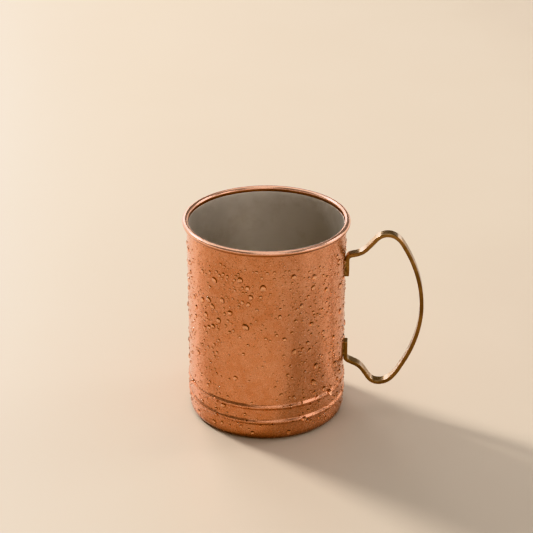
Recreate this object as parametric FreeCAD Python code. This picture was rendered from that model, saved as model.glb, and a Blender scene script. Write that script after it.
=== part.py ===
import FreeCAD, Part
import math
import os

# Straight-walled copper mug: a drawn cup with a wired rim, two raised beads near
# the foot, a bright lining, and a bent flat-bar handle brazed on by two pads.
# Millimetres. The cup's axis is Z, it stands on z = 0, and the handle points to +X.

# Cup
CUP_RADIUS = 40.0
RIM_TOP_Z = 106.2
SHEET_THICKNESS = 0.7
LINING_THICKNESS = 0.15
LINING_TOP_BELOW_RIM = 2.6
FOOT_CORNER_RADIUS = 3.2

# Bottom panel, dished up so that the cup stands on a ring
PANEL_RADIUS = 31.5
PANEL_RISE = 0.8
PANEL_STEP_WIDTH = 1.6
PANEL_BEND_RADIUS = 1.3

# Wired rim: the sheet is rolled outwards round a wire
WIRE_RADIUS = 0.75
ROLL_END_ANGLE = -110.0

# The two beads swaged outwards above the foot
BEAD_HEIGHTS = (10.6, 19.1)
BEAD_HALF_WIDTH = 1.4
BEAD_PEAK = 0.95
BEAD_ROOT_BEND = 1.0
BEAD_CREST_BEND = 1.1

# Handle: flat bar, bent in the plane y = 0
BAR_WIDTH = 5.2
BAR_THICKNESS = 2.0
BAR_EDGE_RADIUS = 0.5
BRAZE_GAP = 0.1
PAD_X = CUP_RADIUS + BRAZE_GAP + BAR_THICKNESS / 2
# Corners of the bar's centre line as (x, z, bend radius), from the end of the
# upper pad, over the ear-shaped grip, to the end of the lower pad
HANDLE_BENDS = (
    (PAD_X, 75.8, 0.0),
    (PAD_X, 86.9, 2.6),
    (48.7, 88.6, 11.0),
    (60.0, 101.6, 7.2),
    (67.4, 96.4, 11.0),
    (73.9, 85.5, 66.0),
    (78.7, 70.3, 64.0),
    (79.7, 54.5, 57.0),
    (76.0, 36.8, 70.0),
    (67.4, 20.8, 31.0),
    (63.0, 15.6, 9.2),
    (55.3, 14.4, 6.5),
    (48.6, 24.4, 10.0),
    (PAD_X, 27.8, 2.6),
    (PAD_X, 38.2, 0.0),
)

# Brazing under and round each pad
BRAZE_LEG = 0.6
BRAZE_SHORT_OF_END = 0.3
BRAZE_CUT_DEPTH = 1.0

SAME_LENGTH = 0.01

ROLL_CENTRE_R = CUP_RADIUS + WIRE_RADIUS
ROLL_CENTRE_Z = RIM_TOP_Z - WIRE_RADIUS - SHEET_THICKNESS
LINING_TOP_Z = RIM_TOP_Z - LINING_TOP_BELOW_RIM


def point(x, z):
    return FreeCAD.Vector(x, 0, z)


def left_normal(start, end):
    along = (end - start).normalize()
    return FreeCAD.Vector(-along.z, 0, along.x)


def offset_corners(corners, offset):
    """Shift a bent line to its left by offset, and keep its bends concentric."""
    nodes = [point(x, z) for x, z, _ in corners]
    last = len(nodes) - 1
    shifted = []
    for i, node in enumerate(nodes):
        before = left_normal(nodes[max(i - 1, 0)], nodes[max(i, 1)])
        after = left_normal(nodes[min(i, last - 1)], nodes[min(i + 1, last)])
        reach = (before + after) * (offset / (1 + before.dot(after)))
        right_turn = math.copysign(1, before.z * after.x - before.x * after.z)
        shifted.append((node + reach, corners[i][2] + offset * right_turn))
    return shifted


def bent_line(corners, offset=0.0):
    """Edges of straight runs joined by tangent arcs, offset to the line's left."""
    nodes = offset_corners(corners, offset)
    edges = []
    run_start = nodes[0][0]
    for i in range(1, len(nodes) - 1):
        corner, radius = nodes[i]
        back = (nodes[i - 1][0] - corner).normalize()
        ahead = (nodes[i + 1][0] - corner).normalize()
        half = back.getAngle(ahead) / 2
        arc_start = corner + back * (radius / math.tan(half))
        arc_end = corner + ahead * (radius / math.tan(half))
        middle = (back + ahead).normalize() * (radius / math.sin(half) - radius)
        edges.append(Part.makeLine(run_start, arc_start))
        edges.append(Part.Arc(arc_start, corner + middle, arc_end).toShape())
        run_start = arc_end
    edges.append(Part.makeLine(run_start, nodes[-1][0]))
    return edges


def wall_corners(top_z):
    """Outer face of the cup from the centre of the bottom panel up the wall."""
    step_outside = PANEL_RADIUS + PANEL_STEP_WIDTH
    corners = [
        (0, PANEL_RISE, 0),
        (PANEL_RADIUS, PANEL_RISE, PANEL_BEND_RADIUS),
        (step_outside, 0, PANEL_BEND_RADIUS),
        (CUP_RADIUS, 0, FOOT_CORNER_RADIUS),
    ]
    for height in BEAD_HEIGHTS:
        corners.append((CUP_RADIUS, height - BEAD_HALF_WIDTH, BEAD_ROOT_BEND))
        corners.append((CUP_RADIUS + BEAD_PEAK, height, BEAD_CREST_BEND))
        corners.append((CUP_RADIUS, height + BEAD_HALF_WIDTH, BEAD_ROOT_BEND))
    corners.append((CUP_RADIUS, top_z, 0))
    return corners


def roll_arc(radius):
    """Arc round the rim wire, from the wall over the top to the roll's end."""
    middle_angle = math.radians((180 + ROLL_END_ANGLE) / 2)
    end_angle = math.radians(ROLL_END_ANGLE)
    centre = point(ROLL_CENTRE_R, ROLL_CENTRE_Z)
    start = centre - point(radius, 0)
    middle = centre + point(radius * math.cos(middle_angle), radius * math.sin(middle_angle))
    end = centre + point(radius * math.cos(end_angle), radius * math.sin(end_angle))
    return Part.Arc(start, middle, end).toShape()


def ends(edges):
    return edges[0].firstVertex(True).Point, edges[-1].lastVertex(True).Point


def closed_face(near_side, far_side):
    """Face between two runs of edges that go the same way."""
    near_start, near_end = ends(near_side)
    far_start, far_end = ends(far_side)
    caps = [Part.makeLine(near_start, far_start), Part.makeLine(near_end, far_end)]
    outline = Part.Wire(Part.__sortEdges__(near_side + far_side + caps))
    return Part.Face(outline)


def spun(face):
    return face.revolve(FreeCAD.Vector(0, 0, 0), FreeCAD.Vector(0, 0, 1), 360)


def body_shell():
    corners = wall_corners(ROLL_CENTRE_Z)
    outside = bent_line(corners) + [roll_arc(WIRE_RADIUS)]
    inside = bent_line(corners, SHEET_THICKNESS) + [roll_arc(WIRE_RADIUS + SHEET_THICKNESS)]
    return spun(closed_face(outside, inside))


def nickel_lining():
    corners = wall_corners(LINING_TOP_Z)
    outside = bent_line(corners, SHEET_THICKNESS)
    inside = bent_line(corners, SHEET_THICKNESS + LINING_THICKNESS)
    return spun(closed_face(outside, inside))


def rim_wire():
    return Part.makeTorus(ROLL_CENTRE_R, WIRE_RADIUS, point(0, ROLL_CENTRE_Z))


def is_long_edge(edge):
    """True for the edges of the bar's two side faces, except across its ends."""
    box = edge.BoundBox
    on_a_side = box.YLength < SAME_LENGTH
    level = box.ZLength < SAME_LENGTH
    across_an_end = level and abs(edge.Length - BAR_THICKNESS) < SAME_LENGTH
    return on_a_side and not across_an_end


def handle_strap():
    left = bent_line(HANDLE_BENDS, BAR_THICKNESS / 2)
    right = bent_line(HANDLE_BENDS, -BAR_THICKNESS / 2)
    face = closed_face(left, right)
    face.translate(FreeCAD.Vector(0, -BAR_WIDTH / 2, 0))
    bar = face.extrude(FreeCAD.Vector(0, BAR_WIDTH, 0))
    rounded = [edge for edge in bar.Edges if is_long_edge(edge)]
    return bar.makeFillet(BAR_EDGE_RADIUS, rounded)


def pad_braze(strap, low_z, high_z):
    """Brazing between a pad and the round wall, with a small fillet each side."""
    half_bar = BAR_WIDTH / 2
    bar_face_x = CUP_RADIUS + BRAZE_GAP
    bead_x = bar_face_x + BRAZE_LEG
    toe_y = half_bar + BRAZE_LEG
    toe_x = math.sqrt(CUP_RADIUS**2 - toe_y**2)
    buried_x = toe_x - BRAZE_CUT_DEPTH
    section = (
        (buried_x, -toe_y),
        (toe_x, -toe_y),
        (bead_x, -half_bar),
        (bead_x, half_bar),
        (toe_x, toe_y),
        (buried_x, toe_y),
        (buried_x, -toe_y),
    )
    outline = Part.makePolygon([FreeCAD.Vector(x, y, low_z) for x, y in section])
    block = Part.Face(outline).extrude(FreeCAD.Vector(0, 0, high_z - low_z))
    cup = Part.makeCylinder(CUP_RADIUS, RIM_TOP_Z)
    return block.cut(cup).cut(strap)


def upper_braze(strap):
    pad_end = HANDLE_BENDS[0][1]
    pad_bend = HANDLE_BENDS[1][1] - HANDLE_BENDS[1][2]
    return pad_braze(strap, pad_end + BRAZE_SHORT_OF_END, pad_bend)


def lower_braze(strap):
    pad_end = HANDLE_BENDS[-1][1]
    pad_bend = HANDLE_BENDS[-2][1] + HANDLE_BENDS[-2][2]
    return pad_braze(strap, pad_bend, pad_end - BRAZE_SHORT_OF_END)


def save(name, shape):
    shape.exportStep(os.path.join("parts", name + ".step"))
    print(name, "valid" if shape.isValid() else "NOT VALID", round(shape.Volume, 1), "mm3")


def main():
    os.makedirs("parts", exist_ok=True)
    strap = handle_strap()
    save("body_shell", body_shell())
    save("rim_wire", rim_wire())
    save("nickel_lining", nickel_lining())
    save("handle_strap", strap)
    save("upper_braze", upper_braze(strap))
    save("lower_braze", lower_braze(strap))


main()
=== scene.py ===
import bpy
import math
import random
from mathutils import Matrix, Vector, noise


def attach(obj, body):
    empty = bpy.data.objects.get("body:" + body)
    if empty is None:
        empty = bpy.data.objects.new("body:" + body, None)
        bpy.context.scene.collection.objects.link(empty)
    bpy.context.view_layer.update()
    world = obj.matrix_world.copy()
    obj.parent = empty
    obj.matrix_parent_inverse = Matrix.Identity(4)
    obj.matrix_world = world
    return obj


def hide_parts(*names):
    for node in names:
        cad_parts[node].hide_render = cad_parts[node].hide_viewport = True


# Copper mug: a cup with a wired rim and two raised beads, a nickel lining, a bent
# flat-bar handle, and the drops of water that stand on the cold copper.
# Metres, in the CAD frame: the cup's axis is Z, it stands on z = 0, handle to +X.

MM = 0.001
FULL_TURN = 2 * math.pi
SEED = 346

# Cup, as in the CAD
CUP_RADIUS = 40.0 * MM
RIM_TOP = 106.2 * MM
SHEET = 0.7 * MM
LINING = 0.15 * MM
LINING_TOP = 103.6 * MM
WIRE_RADIUS = 0.75 * MM
ROLL_END_ANGLE = -110.0
ROLL_R = CUP_RADIUS + WIRE_RADIUS
ROLL_Z = RIM_TOP - WIRE_RADIUS - SHEET
FOOT_CORNER = 3.2 * MM
PANEL_RADIUS = 31.5 * MM
PANEL_RISE = 0.8 * MM
PANEL_STEP = 1.6 * MM
PANEL_BEND = 1.3 * MM
BEAD_HEIGHTS = (10.6 * MM, 19.1 * MM)
BEAD_HALF = 1.4 * MM
BEAD_PEAK = 0.95 * MM
BEAD_ROOT_BEND = 1.0 * MM
BEAD_CREST_BEND = 1.1 * MM

# Handle bar, as in the CAD. Each pad lies against the wall between two heights
BAR_WIDTH = 5.2 * MM
BAR_THICKNESS = 2.0 * MM
BAR_EDGE = 0.5 * MM
BRAZE_GAP = 0.1 * MM
PAD_X = CUP_RADIUS + BRAZE_GAP + BAR_THICKNESS / 2
PAD_BEND = 2.6 * MM
UPPER_PAD = (75.8 * MM, 86.9 * MM)
LOWER_PAD = (27.8 * MM, 38.2 * MM)
# Corners of the bar's centre line from pad to pad: x, z and bend radius in millimetres
GRIP_BENDS = (
    (48.7, 88.6, 11.0),
    (60.0, 101.6, 7.2),
    (67.4, 96.4, 11.0),
    (73.9, 85.5, 66.0),
    (78.7, 70.3, 64.0),
    (79.7, 54.5, 57.0),
    (76.0, 36.8, 70.0),
    (67.4, 20.8, 31.0),
    (63.0, 15.6, 9.2),
    (55.3, 14.4, 6.5),
    (48.6, 24.4, 10.0),
)
# Rounding of the bar's sawn ends: distance along the bar, and how far its section shrinks
BAR_ENDS = ((0.0, 0.30 * MM), (0.10 * MM, 0.10 * MM), (0.30 * MM, 0.0))

# Mesh fineness
AROUND = 256
ARC_STEP = math.radians(9)
LONGEST_RUN = 2.5 * MM
BAR_EDGE_STEPS = 6
FLAT_FACE_WEIGHT = 60

# Colours, as linear red, green, blue and opacity
COPPER_DEEP = (0.615, 0.252, 0.137, 1)
COPPER_PALE = (0.685, 0.296, 0.165, 1)
COPPER_BLUSH = (0.80, 0.42, 0.27, 1)
# painted shade: dark copper near the foot and low on the wall, for the shadowed table it
# reflects
COPPER_PAINTED_SHADE = (0.23, 0.08, 0.04, 1)
# paler lip: partly rubbed by use, partly a painted highlight of the sky the rim catches
COPPER_LIP_WORN_AND_HIGHLIGHT = (0.86, 0.53, 0.39, 1)
# painted shade: dark copper under the roll, where the crevice is shaded
COPPER_PAINTED_SHADE_UNDER_ROLL = (0.22, 0.075, 0.035, 1)
# painted reflection: dark lines along the tops of the beads, away from the handle
COPPER_PAINTED_BEAD_LINE = (0.07, 0.03, 0.02, 1)
# painted highlight: copper under the drops paler than the wall, for the light each drop gathers
WET_COPPER_BRIGHTENED_DEEP = (0.78, 0.38, 0.215, 1)
WET_COPPER_BRIGHTENED_PALE = (0.86, 0.46, 0.28, 1)
NICKEL_CLEAN = (0.80, 0.76, 0.71, 1)
NICKEL_MARKED = (0.68, 0.63, 0.57, 1)
BRASS_CLEAN = (0.31, 0.165, 0.070, 1)
BRASS_TARNISHED = (0.17, 0.085, 0.036, 1)
# paler brass on upward faces: partly rubbed, partly a painted highlight of light from above
BRASS_RUBBED_AND_SHEEN = (0.38, 0.27, 0.15, 1)
BRAZE_CLEAN = (0.30, 0.19, 0.10, 1)
BRAZE_FLUX = (0.12, 0.07, 0.04, 1)
WIRE_PALE = (0.70, 0.30, 0.14, 1)
WIRE_DEEP = (0.50, 0.20, 0.09, 1)
WATER_CLEAR = (1, 1, 1, 1)
# painted shade: dark tints for the upper and lower edges of each drop
WATER_PAINTED_UPPER_SHADE = (0.20, 0.11, 0.07, 1)
WATER_PAINTED_LOWER_SHADE = (0.18, 0.08, 0.05, 1)
FLOOR_DEEP = (0.58, 0.50, 0.41, 1)
FLOOR_PALE = (0.62, 0.54, 0.45, 1)

# How strongly a tone shows over what lies under it, from 0 to 1
BLUSH_STRENGTH = 0.25
FOOT_PAINTED_SHADE_STRENGTH = 0.92
LOW_PAINTED_SHADE_STRENGTH = 0.11
LIP_WEAR_AND_HIGHLIGHT_STRENGTH = 0.75
UNDER_ROLL_SHADE_STRENGTH = 0.8
BEAD_LINE_STRENGTH = 0.85
RUBBED_AND_SHEEN_STRENGTH = 0.5
VEIL_EVERYWHERE = 0.3
VEIL_TOWARDS_HANDLE = 0.7

# Heights on the copper between which something changes: painted shade darkens the foot, the
# lip is pale, painted shade lies under the roll, and the fog starts below it
FOOT_SHADE = (0.5 * MM, 6.0 * MM)
LOW_SHADE = (8 * MM, 30 * MM)
LIP = (RIM_TOP - 1.6 * MM, RIM_TOP - 0.7 * MM)
UNDER_ROLL = RIM_TOP - 2.35 * MM
UNDER_ROLL_SPREAD = (1.1 * MM, 0.3 * MM)
FOG_STARTS = (RIM_TOP - 2.2 * MM, RIM_TOP - 3.4 * MM)
# Painted dark reflection lies in a line where the top of each bead meets the wall: half the
# width of each line, and the share of it that is fully dark
BEAD_LINE_ABOVE_BEAD = 1.05 * BEAD_HALF
BEAD_LINE_HALF_WIDTHS = (0.26 * MM, 0.34 * MM)
BEAD_LINE_CORE = 0.3
# Distances towards the handle: where the painted bead line stops, and where the veil of mist
# comes in and goes
BEAD_LINE_ENDS = (12 * MM, 4 * MM)
VEIL_STARTS = (3 * MM, 15 * MM)
VEIL_ENDS = (38 * MM, 27 * MM)

WATER_IOR = 1.333
COAT_IOR = 1.5

# Drops: range of contact radius, how many, points round the edge, rings up the cap
BIG_DROPS = (
    ((1.00 * MM, 1.70 * MM), 190, 20, 6),
    ((0.50 * MM, 0.95 * MM), 1000, 12, 4),
)
FINE_DROPS = (
    ((0.24 * MM, 0.46 * MM), 2000, 8, 2),
    ((0.12 * MM, 0.22 * MM), 5200, 6, 1),
)
LARGEST_DROP = 1.70 * MM
SMALL_ONES_LEAD = 1.5
SPACE_BETWEEN = 1.12
GRID_CELL = 4.0 * MM
DROP_LOWEST = 3.5 * MM
DROP_HIGHEST = 102.0 * MM
BIG_DROP_HIGHEST = 96.0 * MM
PAD_ROOM = 1.0 * MM
# Form of one drop
CONTACT_ANGLE = (math.radians(48), math.radians(63))
DROP_OFF_WALL = 0.03 * MM
MOST_STRETCH = 0.32
TILT_SPREAD = 0.45
WOBBLE = (0.02, 0.08)
MOST_SAG = 0.22
SAG_SHARE = (0.5, 1.0)
# Where drops stand thickly: in scattered patches, fewer near the foot and in one dry
# patch, more in one wet patch. Centres and reaches are angles round the cup and heights
PATCHES_ROUND = 1.6
PATCHES_UP = 26
PATCH_GAIN = 1.3
PATCH_LOSS = 0.05
DAMP_AT_FOOT = 0.35
DAMP_RISE = 0.8
DRY_PATCH = (math.radians(-96), 32 * MM)
DRY_REACH = (math.radians(26), 24 * MM)
DRYNESS = 0.8
WET_PATCH = (math.radians(-52), 36 * MM)
WET_REACH = (math.radians(17), 26 * MM)
WETNESS = 0.5

# Camera, in degrees, metres and millimetres of lens and sensor
CAMERA_AZIMUTH = -85.5
CAMERA_ELEVATION = 30.34
CAMERA_DISTANCE = 0.8654
AIM_HEIGHT = 0.0787
LENS = 110.1
SENSOR_WIDTH = 36
CLIP_START = 0.01

# Lights: name, azimuth and elevation in degrees, distance, width, watts, colour
LIGHTS = (
    ("key", 146, 38, 1.6, 0.30, 27, (1.0, 0.94, 0.86)),
    ("sky", 112, 76, 1.5, 1.5, 6.0, (1.0, 0.96, 0.92)),
    ("back", 118, 16, 1.5, 0.45, 5.0, (1.0, 0.96, 0.92)),
    ("front", -78, 46, 1.6, 1.1, 3.7, (1.0, 0.95, 0.90)),
    ("panel", 124, 33, 1.5, 0.7, 2.2, (1.0, 0.96, 0.92)),
    ("right", 22, 28, 1.5, 0.6, 6.8, (1.0, 0.95, 0.90)),
    ("side", -24, 22, 1.5, 0.5, 2.2, (1.0, 0.94, 0.89)),
)
LIGHT_AIM_HEIGHT = 0.05

# Room: its glow fades between two heights above the horizon, as sines of elevation
ROOM_COLOUR = (1.0, 0.92, 0.84, 1)
GLOW_FROM = 0.02
GLOW_TO = 0.20
GLOW_AT_HORIZON = 2.4
GLOW_ABOVE = 0.22
FLOOR_HALF = 3.0


# ---------------------------------------------------------------- outlines


def left_normal(start, end):
    """Unit normal on the left of the way from start to end."""
    along = (end - start).normalized()
    return Vector((-along.y, along.x))


def normals_at(line, i):
    """Left normals of the runs before and after point i of a line."""
    last = len(line) - 1
    before = left_normal(line[max(i - 1, 0)], line[max(i, 1)])
    after = left_normal(line[min(i, last - 1)], line[min(i + 1, last)])
    return before, after


def offset_corners(corners, offset):
    """Shift a bent line to its left by offset, and keep its bends concentric."""
    nodes = [Vector(corner[:2]) for corner in corners]
    shifted = []
    for i, node in enumerate(nodes):
        before, after = normals_at(nodes, i)
        reach = (before + after) * (offset / (1 + before.dot(after)))
        right_turn = math.copysign(1, before.y * after.x - before.x * after.y)
        shifted.append((node + reach, corners[i][2] + offset * right_turn))
    return shifted


def add_run(points, end):
    """Straight run from the last point to end, cut into short pieces."""
    start = points[-1]
    pieces = max(1, math.ceil((end - start).length / LONGEST_RUN))
    for i in range(1, pieces + 1):
        points.append(start.lerp(end, i / pieces))


def add_arc(points, centre, radius, start_angle, turn):
    """Arc after the last point, in steps small enough to look round."""
    by_angle = math.ceil(abs(turn) / ARC_STEP)
    by_length = math.ceil(abs(turn) * radius / LONGEST_RUN)
    steps = max(2, by_angle, by_length)
    for i in range(1, steps + 1):
        angle = start_angle + turn * i / steps
        points.append(centre + Vector((math.cos(angle), math.sin(angle))) * radius)


def bent_line(corners, offset=0.0):
    """Points along straight runs joined by tangent arcs, offset to the line's left."""
    nodes = offset_corners(corners, offset)
    points = [nodes[0][0]]
    for i in range(1, len(nodes) - 1):
        corner, radius = nodes[i]
        back = (nodes[i - 1][0] - corner).normalized()
        ahead = (nodes[i + 1][0] - corner).normalized()
        half = back.angle(ahead) / 2
        reach = radius / math.tan(half)
        add_run(points, corner + back * reach)
        centre = corner + (back + ahead).normalized() * (radius / math.sin(half))
        first = points[-1] - centre
        last = corner + ahead * reach - centre
        start_angle = math.atan2(first.y, first.x)
        turn = math.atan2(last.y, last.x) - start_angle
        turn = (turn + math.pi) % FULL_TURN - math.pi
        add_arc(points, centre, radius, start_angle, turn)
    add_run(points, nodes[-1][0])
    return points


def wall_corners(top):
    """Outer face of the cup from the centre of the bottom panel up the wall."""
    corners = [
        (0, PANEL_RISE, 0),
        (PANEL_RADIUS, PANEL_RISE, PANEL_BEND),
        (PANEL_RADIUS + PANEL_STEP, 0, PANEL_BEND),
        (CUP_RADIUS, 0, FOOT_CORNER),
    ]
    for height in BEAD_HEIGHTS:
        corners.append((CUP_RADIUS, height - BEAD_HALF, BEAD_ROOT_BEND))
        corners.append((CUP_RADIUS + BEAD_PEAK, height, BEAD_CREST_BEND))
        corners.append((CUP_RADIUS, height + BEAD_HALF, BEAD_ROOT_BEND))
    corners.append((CUP_RADIUS, top, 0))
    return corners


def sheet_outline(top, near, far, rolled=False):
    """Closed outline of a layer of the cup between two depths below its outer face."""
    corners = wall_corners(top)
    outside = bent_line(corners, near)
    inside = bent_line(corners, far)
    if rolled:
        centre = Vector((ROLL_R, ROLL_Z))
        turn = math.radians(ROLL_END_ANGLE - 180)
        add_arc(outside, centre, WIRE_RADIUS + near, math.pi, turn)
        add_arc(inside, centre, WIRE_RADIUS + far, math.pi, turn)
    return outside + inside[::-1]


def handle_corners():
    """Corners of the bar's centre line, from the end of its upper pad to the end of its
    lower one."""
    upper = [(PAD_X, UPPER_PAD[0], 0.0), (PAD_X, UPPER_PAD[1], PAD_BEND)]
    grip = [(x * MM, z * MM, radius * MM) for x, z, radius in GRIP_BENDS]
    lower = [(PAD_X, LOWER_PAD[0], PAD_BEND), (PAD_X, LOWER_PAD[1], 0.0)]
    return upper + grip + lower


# ---------------------------------------------------------------- meshes


def make_piece(name, vertices, faces, material):
    """Smooth-shaded object of a mesh, in the scene, with one material."""
    mesh = bpy.data.meshes.new(name)
    mesh.from_pydata(vertices, [], faces)
    mesh.update()
    mesh.shade_smooth()
    piece = bpy.data.objects.new(name, mesh)
    bpy.context.scene.collection.objects.link(piece)
    mesh.materials.append(material)
    return piece


def spin(outline, around=AROUND):
    """Closed mesh of an outline of (radius, height) points spun about Z.
    The outline's first and last points lie on the axis."""
    rings = outline[1:-1]
    vertices = [(0, 0, outline[0].y)]
    for point in rings:
        for k in range(around):
            angle = FULL_TURN * k / around
            vertices.append((point.x * math.cos(angle), point.x * math.sin(angle), point.y))
    vertices.append((0, 0, outline[-1].y))
    top = len(vertices) - 1
    faces = []
    for k in range(around):
        after = (k + 1) % around
        faces.append((0, 1 + after, 1 + k))
        for ring in range(len(rings) - 1):
            low = 1 + ring * around
            high = low + around
            faces.append((low + k, low + after, high + after, high + k))
        last = 1 + (len(rings) - 1) * around
        faces.append((last + k, last + after, top))
    return vertices, faces


def bar_section(inset):
    """Rounded rectangle of the bar, (across thickness, across width), shrunk by inset."""
    half_t = BAR_THICKNESS / 2 - inset
    half_w = BAR_WIDTH / 2 - inset
    points = []
    for quarter, (sign_t, sign_w) in enumerate(((1, 1), (-1, 1), (-1, -1), (1, -1))):
        centre = Vector((sign_t * (half_t - BAR_EDGE), sign_w * (half_w - BAR_EDGE)))
        for i in range(BAR_EDGE_STEPS + 1):
            angle = math.radians(90) * (quarter + i / BAR_EDGE_STEPS)
            points.append(centre + Vector((math.cos(angle), math.sin(angle))) * BAR_EDGE)
    return points


def bar_stations(line):
    """Places along the bar as (point, side vector, inset), with rounded ends."""
    stations = []
    for i, point in enumerate(line):
        before, after = normals_at(line, i)
        stations.append((point, (before + after) / (1 + before.dot(after)), 0.0))
    first, last = stations[0], stations[-1]
    inwards = (line[1] - line[0]).normalized()
    head = [(first[0] + inwards * step, first[1], inset) for step, inset in BAR_ENDS]
    inwards = (line[-2] - line[-1]).normalized()
    tail = [(last[0] + inwards * step, last[1], inset) for step, inset in BAR_ENDS]
    return head + stations[1:-1] + tail[::-1]


def sweep_bar(line):
    """Closed mesh of the bar along a line of (x, z) points in the plane y = 0."""
    stations = bar_stations(line)
    vertices = []
    for point, side, inset in stations:
        for across, width in bar_section(inset):
            place = point + side * across
            vertices.append((place.x, width, place.y))
    count = len(bar_section(0.0))
    faces = [tuple(range(count))]
    for ring in range(len(stations) - 1):
        low = ring * count
        for k in range(count):
            after = (k + 1) % count
            faces.append((low + k, low + count + k, low + count + after, low + after))
    last = (len(stations) - 1) * count
    faces.append(tuple(range(last + count - 1, last - 1, -1)))
    return vertices, faces


def even_normals(piece):
    """Shade flats flat and bends round."""
    modifier = piece.modifiers.new("even_normals", "WEIGHTED_NORMAL")
    modifier.keep_sharp = True
    modifier.weight = FLAT_FACE_WEIGHT


# ---------------------------------------------------------------- materials


class Nodes:
    """Short calls for building one material's node tree. Noise and cell scales are in
    features per metre."""

    def __init__(self, name):
        self.material = bpy.data.materials.new(name)
        self.material.use_nodes = True
        self.tree = self.material.node_tree
        self.shader = self.tree.nodes["Principled BSDF"]
        self.place = self.tree.nodes.new("ShaderNodeTexCoord").outputs["Object"]

    def set(self, **inputs):
        """Set or link the shader's inputs, named with underscores for spaces."""
        for key, value in inputs.items():
            self.put(self.shader.inputs[key.replace("_", " ")], value)

    def put(self, socket, value):
        """Link a value that is an output of another node, or store a plain one."""
        if isinstance(value, bpy.types.NodeSocket):
            self.tree.links.new(value, socket)
        else:
            socket.default_value = value

    def stretched(self, x, y, z):
        """Object coordinates scaled along each axis."""
        node = self.tree.nodes.new("ShaderNodeVectorMath")
        node.operation = "MULTIPLY"
        self.put(node.inputs[0], self.place)
        node.inputs[1].default_value = (x, y, z)
        return node.outputs[0]

    def noise(self, scale, detail, roughness=0.5, place=None):
        node = self.tree.nodes.new("ShaderNodeTexNoise")
        self.put(node.inputs["Vector"], place or self.place)
        node.inputs["Scale"].default_value = scale
        node.inputs["Detail"].default_value = detail
        node.inputs["Roughness"].default_value = roughness
        return node.outputs["Fac"]

    def cells(self, scale):
        """Distance to the nearest of scattered points."""
        node = self.tree.nodes.new("ShaderNodeTexVoronoi")
        self.put(node.inputs["Vector"], self.place)
        node.inputs["Scale"].default_value = scale
        return node.outputs["Distance"]

    def ramp(self, value, between, to=(0.0, 1.0)):
        """Smooth change from one number to another while value runs between two."""
        node = self.tree.nodes.new("ShaderNodeMapRange")
        node.interpolation_type = "SMOOTHSTEP"
        self.put(node.inputs["Value"], value)
        node.inputs["From Min"].default_value, node.inputs["From Max"].default_value = between
        node.inputs["To Min"].default_value, node.inputs["To Max"].default_value = to
        return node.outputs["Result"]

    def maths(self, operation, a, b=0.0):
        node = self.tree.nodes.new("ShaderNodeMath")
        node.operation = operation
        self.put(node.inputs[0], a)
        self.put(node.inputs[1], b)
        return node.outputs[0]

    def times(self, a, b):
        return self.maths("MULTIPLY", a, b)

    def plus(self, a, b):
        return self.maths("ADD", a, b)

    def distance(self, a, b):
        return self.maths("ABSOLUTE", self.maths("SUBTRACT", a, b))

    def varied(self, base, *parts):
        """A base number, raised by each (pattern, amount)."""
        total = base
        for pattern, amount in parts:
            total = self.plus(self.times(pattern, amount), total)
        return total

    def mix(self, factor, a, b):
        """Colour a, turning into colour b as factor goes from 0 to 1."""
        node = self.tree.nodes.new("ShaderNodeMix")
        node.data_type = "RGBA"
        self.put(node.inputs["Factor"], factor)
        self.put(node.inputs["A"], a)
        self.put(node.inputs["B"], b)
        return node.outputs["Result"]

    def along(self, axis):
        """Position along an axis of the mug, in metres."""
        node = self.tree.nodes.new("ShaderNodeSeparateXYZ")
        self.put(node.inputs[0], self.place)
        return node.outputs[axis]

    def facing_up(self):
        """How far the surface faces upwards, from -1 to 1."""
        normal = self.tree.nodes.new("ShaderNodeNewGeometry").outputs["Normal"]
        node = self.tree.nodes.new("ShaderNodeSeparateXYZ")
        self.put(node.inputs[0], normal)
        return node.outputs["Z"]

    def bump(self, pattern, depth, strength=1.0, normal=None):
        """Normal of a surface raised by a pattern, on top of an earlier normal."""
        node = self.tree.nodes.new("ShaderNodeBump")
        node.inputs["Distance"].default_value = depth
        node.inputs["Strength"].default_value = strength
        self.put(node.inputs["Height"], pattern)
        if normal is not None:
            self.put(node.inputs["Normal"], normal)
        return node.outputs["Normal"]


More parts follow.
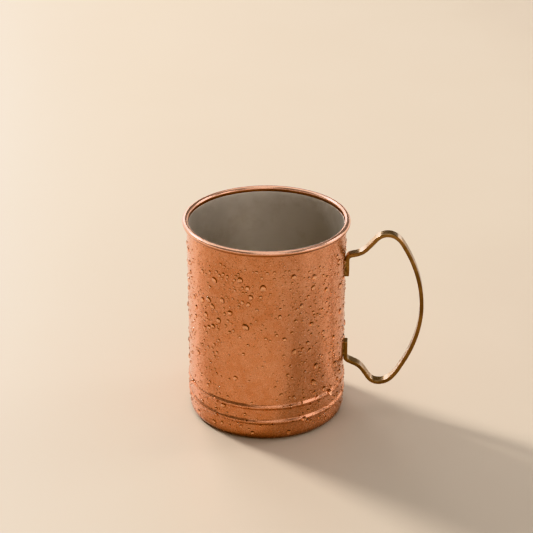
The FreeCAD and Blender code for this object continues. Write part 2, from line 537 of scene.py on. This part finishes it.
def copper_colour(n):
    """Two tones of copper with a pink blush, painted shade darker low down and under the roll,
    a paler lip, rubbed and with a painted highlight, and broken lines of painted dark
    reflection along the beads away from the handle."""
    tone = n.ramp(n.noise(38, detail=4), (0.35, 0.65))
    blush = n.ramp(n.noise(210, detail=5, roughness=0.6), (0.42, 0.62))
    colour = n.mix(tone, COPPER_DEEP, COPPER_PALE)
    colour = n.mix(n.times(blush, BLUSH_STRENGTH), colour, COPPER_BLUSH)
    height = n.along("Z")
    # painted shade: darker copper low on the wall and darkest at the foot
    colour = n.mix(n.ramp(height, LOW_SHADE, (LOW_PAINTED_SHADE_STRENGTH, 0)), colour, COPPER_PAINTED_SHADE)
    colour = n.mix(n.ramp(height, FOOT_SHADE, (FOOT_PAINTED_SHADE_STRENGTH, 0)), colour, COPPER_PAINTED_SHADE)
    # paler lip, partly rubbed and partly a painted highlight
    colour = n.mix(n.ramp(height, LIP, (0, LIP_WEAR_AND_HIGHLIGHT_STRENGTH)), colour, COPPER_LIP_WORN_AND_HIGHLIGHT)
    # painted shade: a dark band under the roll
    off_roll = n.distance(height, UNDER_ROLL)
    painted_shade_under_roll = n.ramp(off_roll, UNDER_ROLL_SPREAD, (0, UNDER_ROLL_SHADE_STRENGTH))
    colour = n.mix(painted_shade_under_roll, colour, COPPER_PAINTED_SHADE_UNDER_ROLL)
    # painted reflection: broken dark lines along the beads, fading towards the handle
    line_breaks = n.ramp(n.noise(120, detail=3), (0.40, 0.56))
    line_breaks = n.times(line_breaks, n.ramp(n.along("X"), BEAD_LINE_ENDS))
    for bead, half in zip(BEAD_HEIGHTS, BEAD_LINE_HALF_WIDTHS):
        off_line = n.distance(height, bead + BEAD_LINE_ABOVE_BEAD)
        line = n.ramp(off_line, (half, BEAD_LINE_CORE * half))
        line = n.times(n.times(line, line_breaks), BEAD_LINE_STRENGTH)
        colour = n.mix(line, colour, COPPER_PAINTED_BEAD_LINE)
    return colour


def veil_of_mist(n):
    """Strength of the pale veil, thicker towards the handle but not beside it."""
    towards_handle = n.along("X")
    starts = n.ramp(towards_handle, VEIL_STARTS)
    ends = n.ramp(towards_handle, VEIL_ENDS)
    return n.varied(VEIL_EVERYWHERE, (n.times(starts, ends), VEIL_TOWARDS_HANDLE))


def satin_copper():
    """Drawn copper, lightly brushed upwards, fogged with fine droplets below its lip."""
    n = Nodes("satin_copper")
    brushing = n.noise(2600, detail=2, place=n.stretched(1, 1, 0.012))
    below_lip = n.ramp(n.along("Z"), FOG_STARTS)
    fog = n.times(n.ramp(n.noise(900, detail=2), (0.45, 0.6)), below_lip)
    rough = n.varied(0.20, (brushing, 0.10), (fog, 0.07))
    mist = n.times(n.ramp(n.cells(2300), (0, 0.42), (1, 0)), below_lip)
    patches = n.ramp(n.noise(70, detail=3), (0.40, 0.62))
    dents = n.noise(150, detail=2)
    normal = n.bump(brushing, depth=0.004 * MM, strength=0.6)
    normal = n.bump(n.times(mist, patches), depth=0.035 * MM, strength=0.55, normal=normal)
    normal = n.bump(dents, depth=0.05 * MM, strength=0.5, normal=normal)
    n.set(Base_Color=copper_colour(n), Metallic=1.0, Roughness=rough, Normal=normal)
    n.set(Coat_Weight=veil_of_mist(n), Coat_IOR=COAT_IOR)
    n.set(Coat_Roughness=0.42, Coat_Normal=normal)
    return n.material


def bright_nickel():
    """Spun lining, with fine rings round the axis and dull water marks."""
    n = Nodes("bright_nickel")
    rings = n.noise(2400, detail=3, place=n.stretched(0.02, 0.02, 1))
    marks = n.ramp(n.noise(60, detail=5, roughness=0.6), (0.45, 0.7))
    colour = n.mix(marks, NICKEL_CLEAN, NICKEL_MARKED)
    rough = n.varied(0.36, (rings, 0.12), (marks, 0.10))
    normal = n.bump(rings, depth=0.006 * MM, strength=0.6)
    normal = n.bump(n.noise(120, detail=2), depth=0.05 * MM, strength=0.4, normal=normal)
    n.set(Base_Color=colour, Metallic=1.0, Roughness=rough, Normal=normal)
    return n.material


def aged_brass():
    """Lacquered brass bar: dark with tarnish, paler on top where it is rubbed and where
    painted highlight stands for the light from above, and finely scratched."""
    n = Nodes("aged_brass")
    tarnish = n.ramp(n.noise(95, detail=5, roughness=0.6), (0.40, 0.66))
    colour = n.mix(tarnish, BRASS_CLEAN, BRASS_TARNISHED)
    # paler on upward faces, partly rubbed and partly a painted highlight
    rubbed_and_sheen = n.ramp(n.facing_up(), (0.15, 0.90), (0, RUBBED_AND_SHEEN_STRENGTH))
    colour = n.mix(rubbed_and_sheen, colour, BRASS_RUBBED_AND_SHEEN)
    scratches = n.noise(3000, detail=2, place=n.stretched(0.06, 1, 0.06))
    rough = n.varied(0.20, (scratches, 0.10), (tarnish, 0.12))
    normal = n.bump(scratches, depth=0.004 * MM, strength=0.5)
    normal = n.bump(n.noise(260, detail=2), depth=0.02 * MM, strength=0.6, normal=normal)
    n.set(Base_Color=colour, Metallic=1.0, Roughness=rough, Normal=normal)
    n.set(Coat_Weight=0.5, Coat_IOR=COAT_IOR, Coat_Roughness=0.09, Coat_Normal=normal)
    return n.material


def dull_braze():
    """Uneven brazing metal, dark with spent flux."""
    n = Nodes("dull_braze")
    flux = n.ramp(n.noise(700, detail=4), (0.4, 0.6))
    colour = n.mix(flux, BRAZE_CLEAN, BRAZE_FLUX)
    rough = n.ramp(n.noise(500, detail=3), (0.3, 0.7), (0.30, 0.60))
    normal = n.bump(n.noise(1600, detail=3), depth=0.06 * MM, strength=0.8)
    n.set(Base_Color=colour, Metallic=1.0, Roughness=rough, Normal=normal)
    return n.material


def drawn_wire():
    """Copper wire inside the rolled rim, with lengthwise drawing marks."""
    n = Nodes("drawn_wire")
    marks = n.noise(2500, detail=2, place=n.stretched(0.05, 0.05, 1))
    rough = n.ramp(marks, (0.3, 0.7), (0.28, 0.45))
    n.set(Base_Color=n.mix(marks, WIRE_PALE, WIRE_DEEP), Metallic=1.0, Roughness=rough)
    return n.material


def wet_copper_brightened():
    """Copper under a drop, where no fog dulls it, paler as a painted highlight of the light the
    drop gathers.
    """
    n = Nodes("wet_copper_brightened")
    tone = n.noise(400, detail=2)
    # painted highlight: paler copper gives each drop a bright centre
    colour = n.mix(tone, WET_COPPER_BRIGHTENED_DEEP, WET_COPPER_BRIGHTENED_PALE)
    rough = n.ramp(tone, (0.3, 0.7), (0.12, 0.18))
    n.set(Base_Color=colour, Metallic=1.0, Roughness=rough)
    return n.material


def clear_water(name, shade):
    """Water with painted shade, darker by shade where a drop's surface turns steeply up or down.
    """
    n = Nodes(name)
    film = n.ramp(n.noise(1500, detail=1), (0.4, 0.7), (0, 0.05))
    # painted shade: darken the drop where its surface turns steeply up or down
    painted_upper_shade = n.times(n.ramp(n.facing_up(), (0.28, 0.62)), shade)
    painted_lower_shade = n.ramp(n.facing_up(), (-0.42, -0.70), (0, shade))
    tint = n.mix(painted_lower_shade, WATER_CLEAR, WATER_PAINTED_LOWER_SHADE)
    tint = n.mix(painted_upper_shade, tint, WATER_PAINTED_UPPER_SHADE)
    n.set(Base_Color=tint, IOR=WATER_IOR, Transmission_Weight=1.0, Roughness=film)
    return n.material


def pale_floor():
    """Plain pale table top, faintly grained."""
    n = Nodes("pale_floor")
    colour = n.mix(n.noise(9, detail=3), FLOOR_DEEP, FLOOR_PALE)
    grain = n.bump(n.noise(1400, detail=2), depth=0.1 * MM, strength=0.4)
    n.set(Base_Color=colour, Roughness=0.42, Normal=grain)
    return n.material


# ---------------------------------------------------------------- drops


def wall_profile():
    """Outer face of the wall as (radius, height) points that only rise."""
    rising = [p for p in bent_line(wall_corners(ROLL_Z)) if p.x > CUP_RADIUS - FOOT_CORNER]
    return [p for i, p in enumerate(rising) if i == 0 or p.y > rising[i - 1].y]


def wall_at(profile, height):
    """Radius of the wall at a height, and its outward normal there."""
    for low, high in zip(profile, profile[1:]):
        if high.y >= height:
            share = (height - low.y) / (high.y - low.y)
            normal = Vector((high.y - low.y, low.x - high.x)).normalized()
            return low.x + (high.x - low.x) * share, normal
    return profile[-1].x, Vector((1, 0))


def nearness(angle, height, centre, reach):
    """How near a place on the wall is to a patch's centre, from 0 to 1."""
    across = (angle - centre[0]) / reach[0]
    along = (height - centre[1]) / reach[1]
    return math.exp(-(across**2) - along**2)


def dampness(angle, height):
    """How thickly drops stand at a place on the wall, from 0 to 1."""
    round_cup = (math.cos(angle) * PATCHES_ROUND, math.sin(angle) * PATCHES_ROUND)
    place = Vector((*round_cup, height * PATCHES_UP))
    patch = noise.noise(place + Vector((SEED, 0, 0))) * 0.5 + 0.5
    dry = DRYNESS * nearness(angle, height, DRY_PATCH, DRY_REACH)
    wet = WETNESS * nearness(angle, height, WET_PATCH, WET_REACH)
    rise = min(1.0, DAMP_AT_FOOT + DAMP_RISE * height / RIM_TOP)
    damp = (patch * PATCH_GAIN - PATCH_LOSS) * rise * (1 - dry) + wet
    return max(0.0, min(1.0, damp))


def has_room(grid, key, across, height, radius):
    """Whether a drop stands clear of those already in the grid's cells round key."""
    near = [
        other
        for i in (-1, 0, 1)
        for j in (-1, 0, 1)
        for other in grid.get((key[0] + i, key[1] + j), ())
    ]
    return all(
        math.hypot(across - a, height - h) >= SPACE_BETWEEN * (radius + r)
        for a, h, r in near
    )


def scatter_drops(rng, sizes, highest, grid):
    """Places for drops as (angle, height, radius, points round, rings), clear of
    those already in the grid."""
    placed = []
    for (smallest, largest), count, around, rings in sizes:
        made = 0
        while made < count:
            angle = rng.uniform(-math.pi, math.pi)
            height = rng.uniform(DROP_LOWEST, highest)
            radius = smallest + (largest - smallest) * rng.random() ** SMALL_ONES_LEAD
            if rng.random() > dampness(angle, height):
                continue
            across = angle * CUP_RADIUS
            key = (math.floor(across / GRID_CELL), math.floor(height / GRID_CELL))
            if has_room(grid, key, across, height, radius):
                grid.setdefault(key, []).append((across, height, radius))
                placed.append((angle, height, radius, around, rings))
                made += 1
    return placed


def clear_of_pads(drop):
    """Whether a drop stands clear of the handle's two pads and the brazing round them."""
    angle, height, radius = drop[:3]
    room = PAD_ROOM + radius
    if abs(angle) * CUP_RADIUS > BAR_WIDTH / 2 + room:
        return True
    return all(not low - room < height < high + room for low, high in (UPPER_PAD, LOWER_PAD))


def drop_form(rng, radius):
    """A drop's contact angle, stretch and its tilt, the lean and depth of its uneven
    outline, and how far its top sags."""
    contact = rng.uniform(*CONTACT_ANGLE)
    stretch = 1 + MOST_STRETCH * rng.random() * radius / LARGEST_DROP
    tilt = rng.gauss(0, TILT_SPREAD)
    lean = rng.uniform(0, FULL_TURN)
    wobble = rng.uniform(*WOBBLE)
    sag = MOST_SAG * radius * rng.uniform(*SAG_SHARE)
    return contact, stretch, tilt, lean, wobble, sag


def add_drop(rng, profile, mesh, drop):
    """One drop: a cap of water, uneven in outline and sagging a little, closed by a
    disc of wet copper just above the wall."""
    vertices, water, wet = mesh
    angle, height, radius, around, rings = drop
    wall_radius, slope = wall_at(profile, height)
    out = Vector((math.cos(angle), math.sin(angle), 0))
    across = Vector((-math.sin(angle), math.cos(angle), 0))
    normal = out * slope.x + Vector((0, 0, slope.y))
    up = normal.cross(across)
    foot = out * wall_radius + Vector((0, 0, height)) + normal * DROP_OFF_WALL
    contact, stretch, tilt, lean, wobble, sag = drop_form(rng, radius)
    ball = radius / math.sin(contact)
    cap = ball - ball * math.cos(contact)
    long_way = up * math.cos(tilt) + across * math.sin(tilt)
    short_way = across * math.cos(tilt) - up * math.sin(tilt)
    start = len(vertices)
    for i in range(rings):
        level = contact * (1 - i / rings)
        spread = ball * math.sin(level)
        rise = ball * math.cos(level) - ball + cap
        for k in range(around):
            turn = FULL_TURN * k / around
            uneven = 1 + wobble * math.cos(2 * turn + lean)
            uneven += 0.5 * wobble * math.cos(3 * turn - lean)
            flat = short_way * (math.cos(turn) * spread * uneven)
            flat += long_way * (math.sin(turn) * spread * uneven * stretch)
            flat -= up * (sag * rise / cap)
            fall_away = flat.dot(across) ** 2 / (2 * wall_radius)
            vertices.append(foot + flat + normal * (rise - fall_away))
    vertices.append(foot + normal * cap - up * sag)
    vertices.append(foot)
    apex = len(vertices) - 2
    last = start + (rings - 1) * around
    for k in range(around):
        after = (k + 1) % around
        wet.append((start + after, start + k, apex + 1))
        for ring in range(rings - 1):
            low = start + ring * around
            water.append((low + k, low + after, low + around + after, low + around + k))
        water.append((last + k, last + after, apex))


def drop_piece(name, mesh, shade, copper):
    """Piece of many drops, of water on their round sides and copper on their flat ones."""
    vertices, water, wet = mesh
    piece = make_piece(name, vertices, water + wet, clear_water(name + "_water", shade))
    piece.data.materials.append(copper)
    for polygon in piece.data.polygons[len(water):]:
        polygon.material_index = 1
        polygon.use_smooth = False
    piece.visible_shadow = False
    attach(piece, "root")


def add_standing_drops():
    """The drops on the wall, big ones first, then fine ones in the spaces left."""
    rng = random.Random(SEED)
    profile = wall_profile()
    copper = wet_copper_brightened()
    grid = {}
    groups = (
        ("drops", BIG_DROPS, BIG_DROP_HIGHEST, 1.0),
        ("fine_drops", FINE_DROPS, DROP_HIGHEST, 0.35),
    )
    for name, sizes, highest, shade in groups:
        mesh = ([], [], [])
        for drop in scatter_drops(rng, sizes, highest, grid):
            if clear_of_pads(drop):
                add_drop(rng, profile, mesh, drop)
        drop_piece(name, mesh, shade, copper)


# ---------------------------------------------------------------- the mug


def standing_in(name, mesh, material, node):
    """Finer piece that stands for a CAD node."""
    piece = make_piece(name, *mesh, material)
    even_normals(piece)
    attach(piece, "root")
    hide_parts(node)


def add_cup():
    mesh = spin(sheet_outline(ROLL_Z, 0, SHEET, rolled=True))
    standing_in("cup", mesh, satin_copper(), "body_shell")


def add_lining():
    mesh = spin(sheet_outline(LINING_TOP, SHEET, SHEET + LINING))
    standing_in("lining", mesh, bright_nickel(), "nickel_lining")


def add_handle():
    mesh = sweep_bar(bent_line(handle_corners()))
    standing_in("handle", mesh, aged_brass(), "handle_strap")


def finish_cad_nodes(nodes):
    """Materials for the CAD nodes that keep their meshes."""
    braze = dull_braze()
    finishes = {"upper_braze": braze, "lower_braze": braze, "rim_wire": drawn_wire()}
    for name, material in finishes.items():
        for material_slot in nodes[name].material_slots:
            material_slot.material = material


# ---------------------------------------------------------------- stage


def towards(azimuth, elevation, distance):
    """Point at a bearing from the mug's axis, in degrees and metres."""
    a, e = math.radians(azimuth), math.radians(elevation)
    return Vector((math.cos(a) * math.cos(e), math.sin(a) * math.cos(e), math.sin(e))) * distance


def put_facing(name, data, place, target_height):
    """Object for a light or camera, turned to face a point on the mug's axis."""
    holder = bpy.data.objects.new(name, data)
    holder.location = place
    aim = Vector((0, 0, target_height)) - holder.location
    holder.rotation_euler = aim.to_track_quat("-Z", "Y").to_euler()
    bpy.context.scene.collection.objects.link(holder)
    return holder


def add_light(name, azimuth, elevation, distance, size, watts, colour):
    """Soft round lamp that the camera doesn't see."""
    light = bpy.data.lights.new(name, "AREA")
    light.shape = "DISK"
    light.size = size
    light.energy = watts
    light.color = colour
    place = towards(azimuth, elevation, distance)
    holder = put_facing(name, light, place, LIGHT_AIM_HEIGHT)
    holder.visible_camera = False


def add_camera():
    camera = bpy.data.cameras.new("camera")
    camera.lens = LENS
    camera.sensor_width = SENSOR_WIDTH
    camera.clip_start = CLIP_START
    place = towards(CAMERA_AZIMUTH, CAMERA_ELEVATION, CAMERA_DISTANCE)
    bpy.context.scene.camera = put_facing("camera", camera, place, AIM_HEIGHT)


def add_floor():
    half = FLOOR_HALF
    corners = [(-half, -half, 0), (half, -half, 0), (half, half, 0), (-half, half, 0)]
    floor = make_piece("floor", corners, [(0, 1, 2, 3)], pale_floor())


def add_room():
    """Dim room with a pale glow along the horizon, as above a big pale table."""
    world = bpy.data.worlds.new("room")
    world.use_nodes = True
    tree = world.node_tree
    split = tree.nodes.new("ShaderNodeSeparateXYZ")
    tree.links.new(tree.nodes.new("ShaderNodeTexCoord").outputs["Generated"], split.inputs[0])
    glow = tree.nodes.new("ShaderNodeMapRange")
    glow.interpolation_type = "SMOOTHSTEP"
    tree.links.new(split.outputs["Z"], glow.inputs["Value"])
    glow.inputs["From Min"].default_value = GLOW_FROM
    glow.inputs["From Max"].default_value = GLOW_TO
    glow.inputs["To Min"].default_value = GLOW_AT_HORIZON
    glow.inputs["To Max"].default_value = GLOW_ABOVE
    background = tree.nodes["Background"]
    background.inputs["Color"].default_value = ROOM_COLOUR
    tree.links.new(glow.outputs["Result"], background.inputs["Strength"])
    bpy.context.scene.world = world


def add_stage():
    """Floor, camera, lights and room."""
    add_floor()
    add_camera()
    for light in LIGHTS:
        add_light(*light)
    add_room()
    bpy.context.scene.view_settings.view_transform = "Khronos PBR Neutral"


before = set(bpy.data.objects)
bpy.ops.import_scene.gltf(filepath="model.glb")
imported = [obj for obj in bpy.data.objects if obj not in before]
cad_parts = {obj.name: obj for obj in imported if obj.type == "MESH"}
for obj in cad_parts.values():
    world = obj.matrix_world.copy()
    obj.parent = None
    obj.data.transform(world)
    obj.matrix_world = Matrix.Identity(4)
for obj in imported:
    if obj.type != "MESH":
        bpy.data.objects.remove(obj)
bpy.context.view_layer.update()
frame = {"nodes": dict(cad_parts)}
add_cup()
add_lining()
add_handle()
finish_cad_nodes(frame["nodes"])
add_standing_drops()
add_stage()
